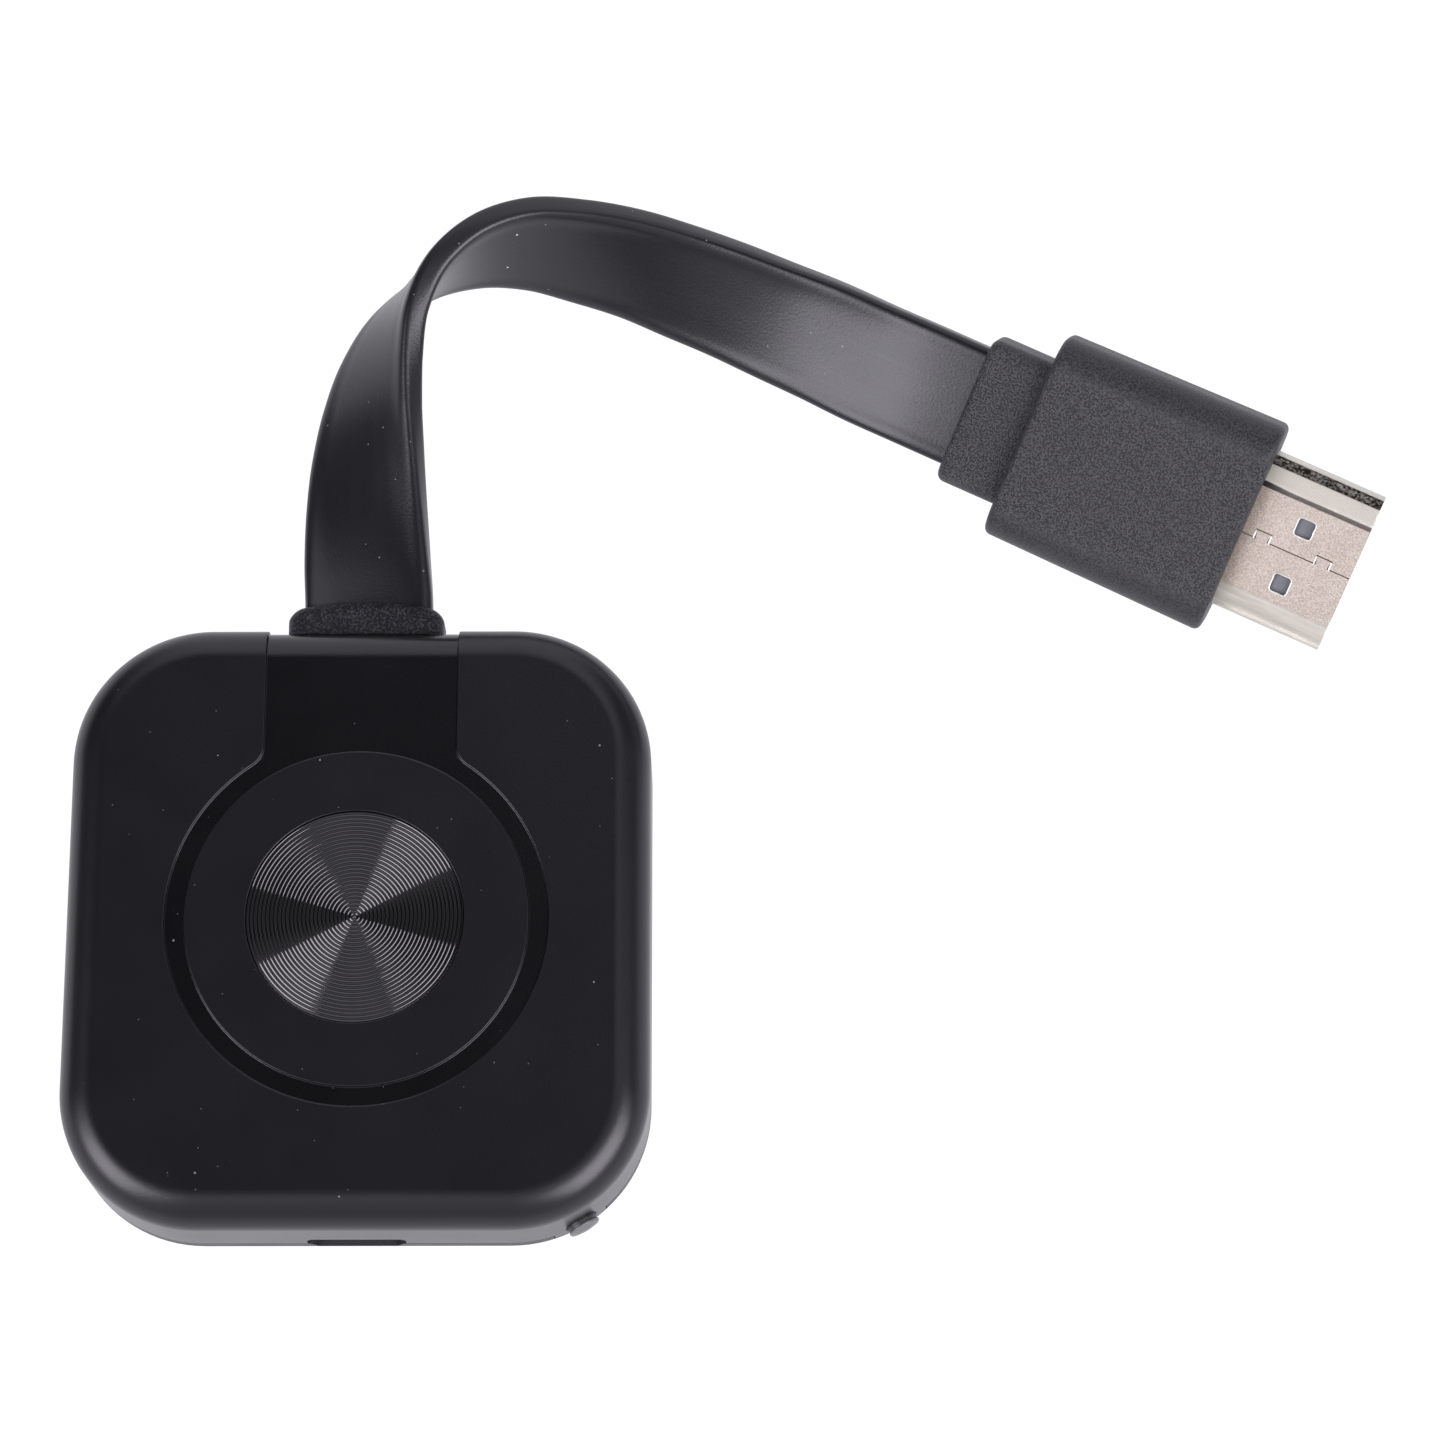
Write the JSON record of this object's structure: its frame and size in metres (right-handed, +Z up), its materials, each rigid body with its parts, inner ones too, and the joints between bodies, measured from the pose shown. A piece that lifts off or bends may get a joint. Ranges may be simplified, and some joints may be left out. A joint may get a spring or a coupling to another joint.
{
  "type": "wireless display adapter",
  "caption": "Flat rounded adapter case with a spun disc set in a keyhole recess, a corner button, a power port, and a short twisted flat cable to a display plug.",
  "frame": {"origin": "middle of the case's underside, on the surface that it rests on", "axes": "+Z up through the top cover, +Y from the power port to the cable, +X to the side of the mode button"},
  "size_m": [0.1091, 0.0886, 0.0144],
  "materials": {
    "case_black": "fine matt moulding, smoother in the recess",
    "spun_metal": "fine concentric turning",
    "rim_black": "fine matt moulding",
    "board_green": "solder mask over glass laminate",
    "screw_steel": "plated",
    "chip_black": "moulded epoxy",
    "pad_rubber": "soft filled silicone",
    "sink_aluminium": "extruded, satin",
    "module_blue": "solder mask over glass laminate",
    "tin_sheet": "stamped and tinned",
    "antenna_sheet": "stamped sheet",
    "can_steel": "plated cans",
    "ferrite": "sintered, matt",
    "ceramic": "fired ceramic with tinned ends",
    "port_black": "moulded insert",
    "contact_gold": "gold flash",
    "button_grey": "satin moulding",
    "switch_black": "moulded base",
    "plunger_white": "moulded plunger",
    "wire_grey": "insulation",
    "gland_rubber": "granular moulding",
    "cable_jacket": "smooth, softly shining",
    "mould_plastic": "granular moulding with smooth long edges",
    "inner_plastic": "unfinished moulding",
    "nickel_shell": "warm nickel plate with a fine grain",
    "insulator_grey": "moulded insert"
  },
  "bodies": {
    "case": {"top_cover": "case_black", "spun_disc": "spun_metal", "bottom_cover": "rim_black", "main_board": "board_green", "board_screws": "screw_steel", "processor": "chip_black", "thermal_pad": "pad_rubber", "heat_sink": "sink_aluminium", "memory_chips": "chip_black", "flash_chip": "chip_black", "wireless_module": "module_blue", "module_shield": "tin_sheet", "antenna": "antenna_sheet", "crystals": "can_steel", "inductors": "ferrite", "capacitors": "ceramic", "power_chip": "chip_black", "port_shell": "tin_sheet", "port_tongue": "port_black", "port_contacts": "contact_gold", "switch_base": "switch_black", "switch_cover": "tin_sheet", "cable_wires": "wire_grey", "cable_gland": "gland_rubber", "flat_cable": "cable_jacket", "plug_neck": "mould_plastic", "plug_overmould": "mould_plastic", "plug_inner_mould": "inner_plastic", "plug_shell": "nickel_shell", "plug_insulator": "insulator_grey", "plug_contacts": "contact_gold"},
    "mode_button": {"button_cap": "button_grey", "switch_plunger": "plunger_white"}
  },
  "joints": [
    {"name": "mode_button_press", "type": "slide", "parent": "case", "child": "mode_button", "axis": [-0.5075, 0.8616, 0], "range_m": [0, 0.00025], "stiffness_N_per_m": 3000}
  ]
}
